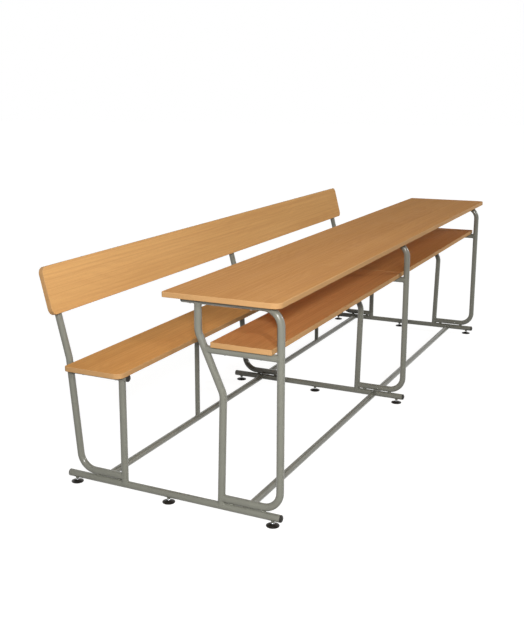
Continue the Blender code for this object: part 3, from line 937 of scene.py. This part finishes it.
def frame_screw_frames(shelf_offsets):
    """The frames of one leg frame's screw heads, each turned a little differently."""
    tube = 2.0 * tube_radius
    spots = []
    for front, rear, setbacks, height, offsets in (
        (0.0, top_depth, top_screw_setbacks, top_bottom, (0.0,)),
        (seat_front_place, seat_rear_place, seat_screw_setbacks, seat_bottom, (0.0,)),
        (shelf_front_setback, shelf_rear_place, shelf_screw_setbacks, shelf_bottom, shelf_offsets),
    ):
        for place in (front + setbacks[0], rear - setbacks[1]):
            spots += [(offset, place, height) for offset in offsets]
    entries = [(at(*spot), upward) for spot in spots]
    centre = at(0.0, upper_upright_place(backrest_height), backrest_height)
    face = centre + backrest_normal * (tube_radius + gap)
    shift = backrest_rise_way * (backrest_width * backrest_screw_share)
    entries += [(face - shift, backrest_normal), (face + shift, backrest_normal)]
    return [
        head_frame(entry, direction, tube, screw_turn_step * index)
        for index, (entry, direction) in enumerate(entries)
    ]


# Levelling feet

def pad_mesh():
    """A shallow cone on a rounded rim, hollow underneath, with a socket for the stem."""
    socket = stem_radius + stem_clearance
    profile = [
        (socket * pad_hollow_share, pad_hollow_height),
        (pad_radius - pad_ring_top_width, pad_hollow_height), (pad_radius - pad_ring_width, 0.0),
    ]
    profile += arc((pad_radius - pad_edge, pad_edge), pad_edge, -90.0, 0.0, rounding_steps)
    rim = (pad_radius - pad_rim_rounding, pad_rim_top - pad_rim_rounding)
    profile += arc(rim, pad_rim_rounding, 0.0, pad_rim_angle, rounding_steps)
    profile += [
        (pad_hub_radius + pad_flare_width, pad_hub_top - pad_flare_drop),
        (pad_hub_radius, pad_hub_top - pad_hub_edge_drop),
        (pad_hub_radius - pad_hub_edge_width, pad_hub_top),
        (socket, pad_hub_top), (socket, pad_socket_bottom),
    ]
    return new_mesh("foot_pad", lambda shape: turned(shape, profile), plastic)


def stem_mesh():
    """A threaded stem on a small chamfered hexagon."""
    half_side = math.pi / 6.0

    def build(shape):
        rings = []
        for height, reach in (
            (hex_bottom, -hex_chamfer), (hex_bottom + hex_chamfer, 0.0),
            (hex_top - hex_chamfer, 0.0), (hex_top, -hex_chamfer),
        ):
            ring = []
            for step in range(hex_points):
                turn = 2.0 * math.pi * step / hex_points
                off = (turn + half_side) % (math.pi / 3.0) - half_side
                flat = hex_radius * math.cos(half_side) / math.cos(half_side - abs(off))
                size = min(flat, hex_radius + reach * 2.0)
                ring.append(Vector((size * math.cos(turn), size * math.sin(turn), height)))
            rings.append(ring)
        add_solid(shape, rings)
        neck = ((stem_radius, pad_socket_bottom + gap), (stem_radius, hex_bottom + hex_thickness / 2.0))
        turned(shape, neck, thread_sides)
        thread = []
        count = int((stem_top_height - hex_top) / thread_pitch * thread_steps)
        for index in range(count + 1):
            height = hex_top - thread_pitch + (stem_top_height - hex_top + thread_pitch) * index / count
            ring = []
            for step in range(thread_sides):
                share = step / thread_sides
                phase = (height / thread_pitch - share) % 1.0
                depth = thread_depth * abs(2.0 * phase - 1.0)
                size = stem_radius - depth
                turn = 2.0 * math.pi * share
                ring.append(Vector((size * math.cos(turn), size * math.sin(turn), height)))
            thread.append(ring)
        add_solid(shape, thread)

    return new_mesh("foot_stem", build, zinc)


def make_frames():
    """The three leg frames, with their plugs, screws, welds and feet."""
    tubes = {
        "foot_tube": foot_tube_mesh(),
        "desk_loop": tube_mesh("desk_loop", desk_loop_run, last=rear_leg_round),
        "desk_rear_leg": tube_mesh("desk_rear_leg", rear_leg_run, foot_round, top_round),
        "shelf_support": tube_mesh("shelf_support", shelf_tube_run, front_leg_round, slant_round),
        "bench_front_leg": tube_mesh("bench_front_leg", bench_leg_run, foot_round, seat_tube_round),
        "bench_upright": tube_mesh("bench_upright", upright_run, first=bench_leg_round),
        "seat_support": tube_mesh("seat_support", seat_tube_run, last=upright_round),
    }
    domed = new_mesh("domed_plug", lambda shape: turned(shape, domed_plug_profile()), plastic)
    flat = new_mesh("flat_plug", lambda shape: turned(shape, flat_plug_profile()), plastic)
    upright_end = frame_on(*upright_run[-1])
    leaning = new_mesh(
        "leaning_plug", lambda shape: turned(shape, domed_plug_profile(), place=upright_end), plastic
    )
    plugs = {
        "desk_tube_plug": (domed, frame_on(desk_loop_run[0][0], depth_way)),
        "seat_tube_plug": (domed, frame_on(seat_tube_run[0][0], -depth_way)),
        "foot_tube_plug": (domed, frame_on(foot_run[0][0], -depth_way)),
    }
    loose_plugs = {
        "foot_tube_rear_cap": (flat, frame_on(foot_run[-1][0], depth_way)),
        "upright_cap": (leaning, Matrix.Identity(4)),
    }
    welds = frame_welds_mesh()
    head = screw_head_mesh()
    end_screws = screws_mesh("frame_screws", head, frame_screw_frames((0.0,)))
    middle_screws = screws_mesh(
        "middle_frame_screws", head, frame_screw_frames((-shelf_seam_inset, shelf_seam_inset))
    )
    pad = pad_mesh()
    stem = stem_mesh()
    for name, along in frame_places:
        shift = Matrix.Translation((along, 0.0, 0.0))
        for piece, mesh in tubes.items():
            add_piece(f"{name}_{piece}_tube", mesh, shift, (f"{name}_{piece}",))
        for piece, (mesh, place) in plugs.items():
            add_piece(f"{name}_{piece}_cap", mesh, shift @ place, (f"{name}_{piece}",))
        for piece, (mesh, place) in loose_plugs.items():
            add_piece(f"{name}_{piece}", mesh, shift @ place)
        add_piece(f"{name}_welds", welds, shift)
        screws = middle_screws if name == "middle" else end_screws
        add_piece(f"{name}_screws", screws, shift)
        for foot, place in foot_places:
            spot = shift @ Matrix.Translation(at(0.0, place, 0.0))
            pad_body, stem_body = f"{name}_{foot}_pad", f"{name}_{foot}_stem"
            add_piece(f"{name}_{foot}_foot_disc", pad, spot, (pad_body,), pad_body)
            add_piece(f"{name}_{foot}_foot_screw", stem, spot, (stem_body,), stem_body)


# Rails and seat posts

def make_rails():
    """Two rails in each bay, welded to the foot tubes."""
    half = bay / 2.0
    start = Vector((-half, 0.0, foot_tube_height))
    end = Vector((half, 0.0, foot_tube_height))
    rounds = (Round(start, depth_way), Round(end, depth_way))
    rail = new_mesh(
        "rail",
        lambda shape: sweep(shape, straight_path(start, end), depth_way, tube_radius, *rounds), paint,
    )

    def beads(shape):
        weld_bead(shape, start, -across_frame, rounds[0], depth_way, tube_radius)
        weld_bead(shape, end, across_frame, rounds[1], depth_way, tube_radius)

    welds = new_mesh("rail_welds", beads, paint)
    for bay_name, along in (("near", -half), ("far", half)):
        for rail_name, place in (("desk_rail", desk_rail_place), ("bench_rail", bench_rail_place)):
            spot = Matrix.Translation(at(along, place, 0.0))
            name = f"{bay_name}_{rail_name}"
            add_piece(f"{name}_tube", rail, spot, (name,))
            add_piece(f"{name}_welds", welds, spot)


def make_seat_posts():
    """Thin posts from the bench rails to plates under the seat."""
    plate_bottom = seat_bottom - gap - plate_thickness
    start = at(0.0, bench_rail_place, foot_tube_height)
    end = at(0.0, bench_rail_place, plate_bottom)
    rail_round = Round(start, across_frame)
    plate_face = Round(end + upward * flat_face_radius, across_frame, flat_face_radius)

    def post(shape):
        sweep(shape, straight_path(start, end), across_frame, post_radius, rail_round)
        rings = []
        for inset, rise in (
            (plate_rounding, 0.0), (0.0, plate_rounding), (0.0, plate_thickness - plate_rounding),
            (plate_rounding, plate_thickness),
        ):
            outline = rounded_outline(
                plate_length, plate_width, plate_corners, inset, small_corner_steps
            )
            centre = at(0.0, bench_rail_place, plate_bottom + rise)
            rings.append([centre + Vector((x, y, 0.0)) for x, y in outline])
        add_solid(shape, rings)

    def beads(shape):
        weld_bead(shape, start, -upward, rail_round, across_frame, post_radius)
        weld_bead(shape, end, upward, plate_face, across_frame, post_radius)

    mesh = new_mesh("seat_post", post, paint)
    welds = new_mesh("seat_post_welds", beads, paint)
    offset = plate_length * plate_screw_share
    screws = screws_mesh("plate_screws", screw_head_mesh(), [
        head_frame(
            at(side * offset, bench_rail_place, seat_bottom), upward, plate_thickness,
            plate_screw_turn + side,
        )
        for side in (-1.0, 1.0)
    ])
    for name, along in post_places:
        spot = Matrix.Translation((along, 0.0, 0.0))
        add_piece(f"{name}_seat_post_tube", mesh, spot, (f"{name}_seat_post",))
        add_piece(f"{name}_seat_post_welds", welds, spot)
        add_piece(f"{name}_seat_post_screws", screws, spot)


# Boards

def board_mesh(name, length, depth, corners, steps, face_material):
    """A laminated board with rounded edges; its band goes a little way over both faces."""

    def build(shape):
        profile = [(band_thickness, 0.0)]
        profile += arc((edge_rounding, edge_rounding), edge_rounding, -90.0, -180.0, rounding_steps)
        profile.append((0.0, edge_rounding + edge_support))
        profile += [(inset, board_thickness - height) for inset, height in profile[::-1]]
        rings = []
        for inset, height in profile:
            outline = rounded_outline(length, depth, corners, inset, steps)
            rings.append([Vector((x, y, height)) for x, y in outline])
        for row in add_solid(shape, rings):
            for face in row:
                face.material_index = 1

    return new_mesh(name, build, face_material, band)


def add_board(
    node, origin, depth, corners, length=board_length, steps=corner_steps, turn=Matrix.Identity(4)
):
    """A board with its underside's middle at the origin; its mesh takes the turn."""
    mesh = board_mesh(node + "_board", length, depth, corners, steps, laminates[node])
    mesh.transform(turn)
    add_piece(node + "_board", mesh, Matrix.Translation(origin), (node,))


def make_boards():
    """The desk top, the seat, the leaning backrest and the two shelves."""
    add_board("desk_top", at(0.0, top_depth / 2.0, top_bottom), top_depth, top_corners)
    add_board("seat", at(0.0, seat_front_place + seat_depth / 2.0, seat_bottom), seat_depth, seat_corners)
    centre = at(0.0, upper_upright_place(backrest_height), backrest_height)
    centre += backrest_normal * (tube_radius + gap)
    turn = Matrix((across_frame, backrest_rise_way, backrest_normal)).transposed().to_4x4()
    add_board("backrest", centre, backrest_width, backrest_corners, turn=turn)
    for name, side in (("near", -1.0), ("far", 1.0)):
        along = side * (shelf_seam + shelf_board_length) / 2.0
        spot = at(along, shelf_front_setback + shelf_depth / 2.0, shelf_bottom)
        add_board(name + "_shelf", spot, shelf_depth, shelf_corners, shelf_board_length, small_corner_steps)


# Studio

def make_camera():
    """The photograph's camera: its place and directions, and its centre off the image's middle."""
    forward = Vector((
        -math.sin(camera_yaw) * math.cos(camera_pitch), math.cos(camera_yaw) * math.cos(camera_pitch),
        -math.sin(camera_pitch),
    ))
    right = Vector((math.cos(camera_yaw), math.sin(camera_yaw), 0.0))
    down = forward.cross(right)
    image_right = right * math.cos(camera_roll) + down * math.sin(camera_roll)
    image_down = down * math.cos(camera_roll) - right * math.sin(camera_roll)
    data = bpy.data.cameras.new("photo_camera")
    data.sensor_width = sensor_size
    longer = max(image_width, image_height)
    data.lens = focal_pixels * sensor_size / longer
    data.shift_x = (image_width / 2.0 - centre_column) / longer
    data.shift_y = (centre_row - image_height / 2.0) / longer
    data.clip_start = clip_near
    data.clip_end = clip_far
    camera = link_object("photo_camera", data)
    turn = Matrix((image_right, -image_down, -forward)).transposed()
    camera.matrix_world = Matrix.Translation(camera_place) @ turn.to_4x4()
    bpy.context.scene.camera = camera


floor_size = 60.0
floor_colour = (0.26, 0.255, 0.245, 1.0)
near_glow = 0.93
near_glow_reach = 2.0
full_glow_reach = 6.0
sky_strength = 0.07
sky_colour = (1.0, 0.98, 0.94, 1.0)
background_strength = 1.0
background_colour = (1.0, 1.0, 1.0, 1.0)

# Each lamp's place, the point it faces, the side of its square and its power
lamps = {
    "key_light": ((-3.86, -2.42, 2.5), (0.0, 0.1, 0.5), 0.2, 34.0),
    "camera_light": ((-3.85, -1.55, 1.58), (0.0, 0.0, 0.5), 0.2, 80.0),
    "front_light": ((2.9, -3.8, 2.3), (1.2, 0.2, 0.6), 0.6, 74.0),
    "top_light": ((-1.2, -0.8, 3.6), (0.0, 0.0, 0.5), 0.6, 28.0),
    "back_light": ((0.4, 3.8, 2.6), (0.0, 0.2, 0.5), 1.2, 14.0),
}


def make_floor():
    """A pale floor that looks white, and keeps the object's soft shadow.

    Where it is seen, also in gloss, it glows: almost to white round the object, and to plain
    white further off, where the lamps don't reach.
    """
    shape = bmesh.new()
    bmesh.ops.create_grid(shape, x_segments=1, y_segments=1, size=floor_size / 2.0)
    mesh = bpy.data.meshes.new("floor")
    shape.to_mesh(mesh)
    shape.free()
    nodes = Nodes(bpy.data.materials.new("studio_floor"))
    nodes.tree.nodes.clear()
    distance = nodes.add("ShaderNodeVectorMath", {0: nodes.place()}, operation="LENGTH").outputs["Value"]
    level = nodes.add("ShaderNodeMapRange", {
        "From Min": near_glow_reach, "From Max": full_glow_reach, "To Min": near_glow, "To Max": 1.0,
        "Value": distance,
    }, interpolation_type="SMOOTHSTEP").outputs["Result"]
    matte = nodes.add("ShaderNodeBsdfDiffuse", {"Color": floor_colour})
    glow = nodes.add("ShaderNodeEmission", {"Strength": nodes.times(nodes.background_rays(), level)})
    both = nodes.add("ShaderNodeAddShader", {0: matte.outputs["BSDF"], 1: glow.outputs["Emission"]})
    nodes.add("ShaderNodeOutputMaterial", {"Surface": both.outputs["Shader"]})
    mesh.materials.append(nodes.owner)
    floor = link_object("studio_floor", mesh)


def make_world():
    """A dim even sky for light, and plain white where it is seen, also in gloss."""
    nodes = Nodes(bpy.data.worlds.new("studio"))
    nodes.tree.nodes.clear()
    light = nodes.add("ShaderNodeBackground", {"Color": sky_colour, "Strength": sky_strength})
    seen = nodes.add(
        "ShaderNodeBackground", {"Color": background_colour, "Strength": background_strength}
    )
    mix = nodes.add("ShaderNodeMixShader", {
        "Fac": nodes.background_rays(), 1: light.outputs["Background"], 2: seen.outputs["Background"],
    })
    nodes.add("ShaderNodeOutputWorld", {"Surface": mix.outputs["Shader"]})
    bpy.context.scene.world = nodes.owner


def make_lights():
    """Soft square lamps, each turned to the object."""
    for name, (place, target, side, power) in lamps.items():
        data = bpy.data.lights.new(name, "AREA")
        data.shape = "SQUARE"
        data.size = side
        data.energy = power
        lamp = link_object(name, data)
        lamp.location = place
        lamp.rotation_mode = "QUATERNION"
        lamp.rotation_quaternion = (Vector(target) - Vector(place)).to_track_quat("-Z", "Y")


def main():
    scene = bpy.context.scene
    scene.view_settings.view_transform = "Standard"
    make_camera()
    make_world()
    make_floor()
    make_lights()
    make_frames()
    make_rails()
    make_seat_posts()
    make_boards()


main()
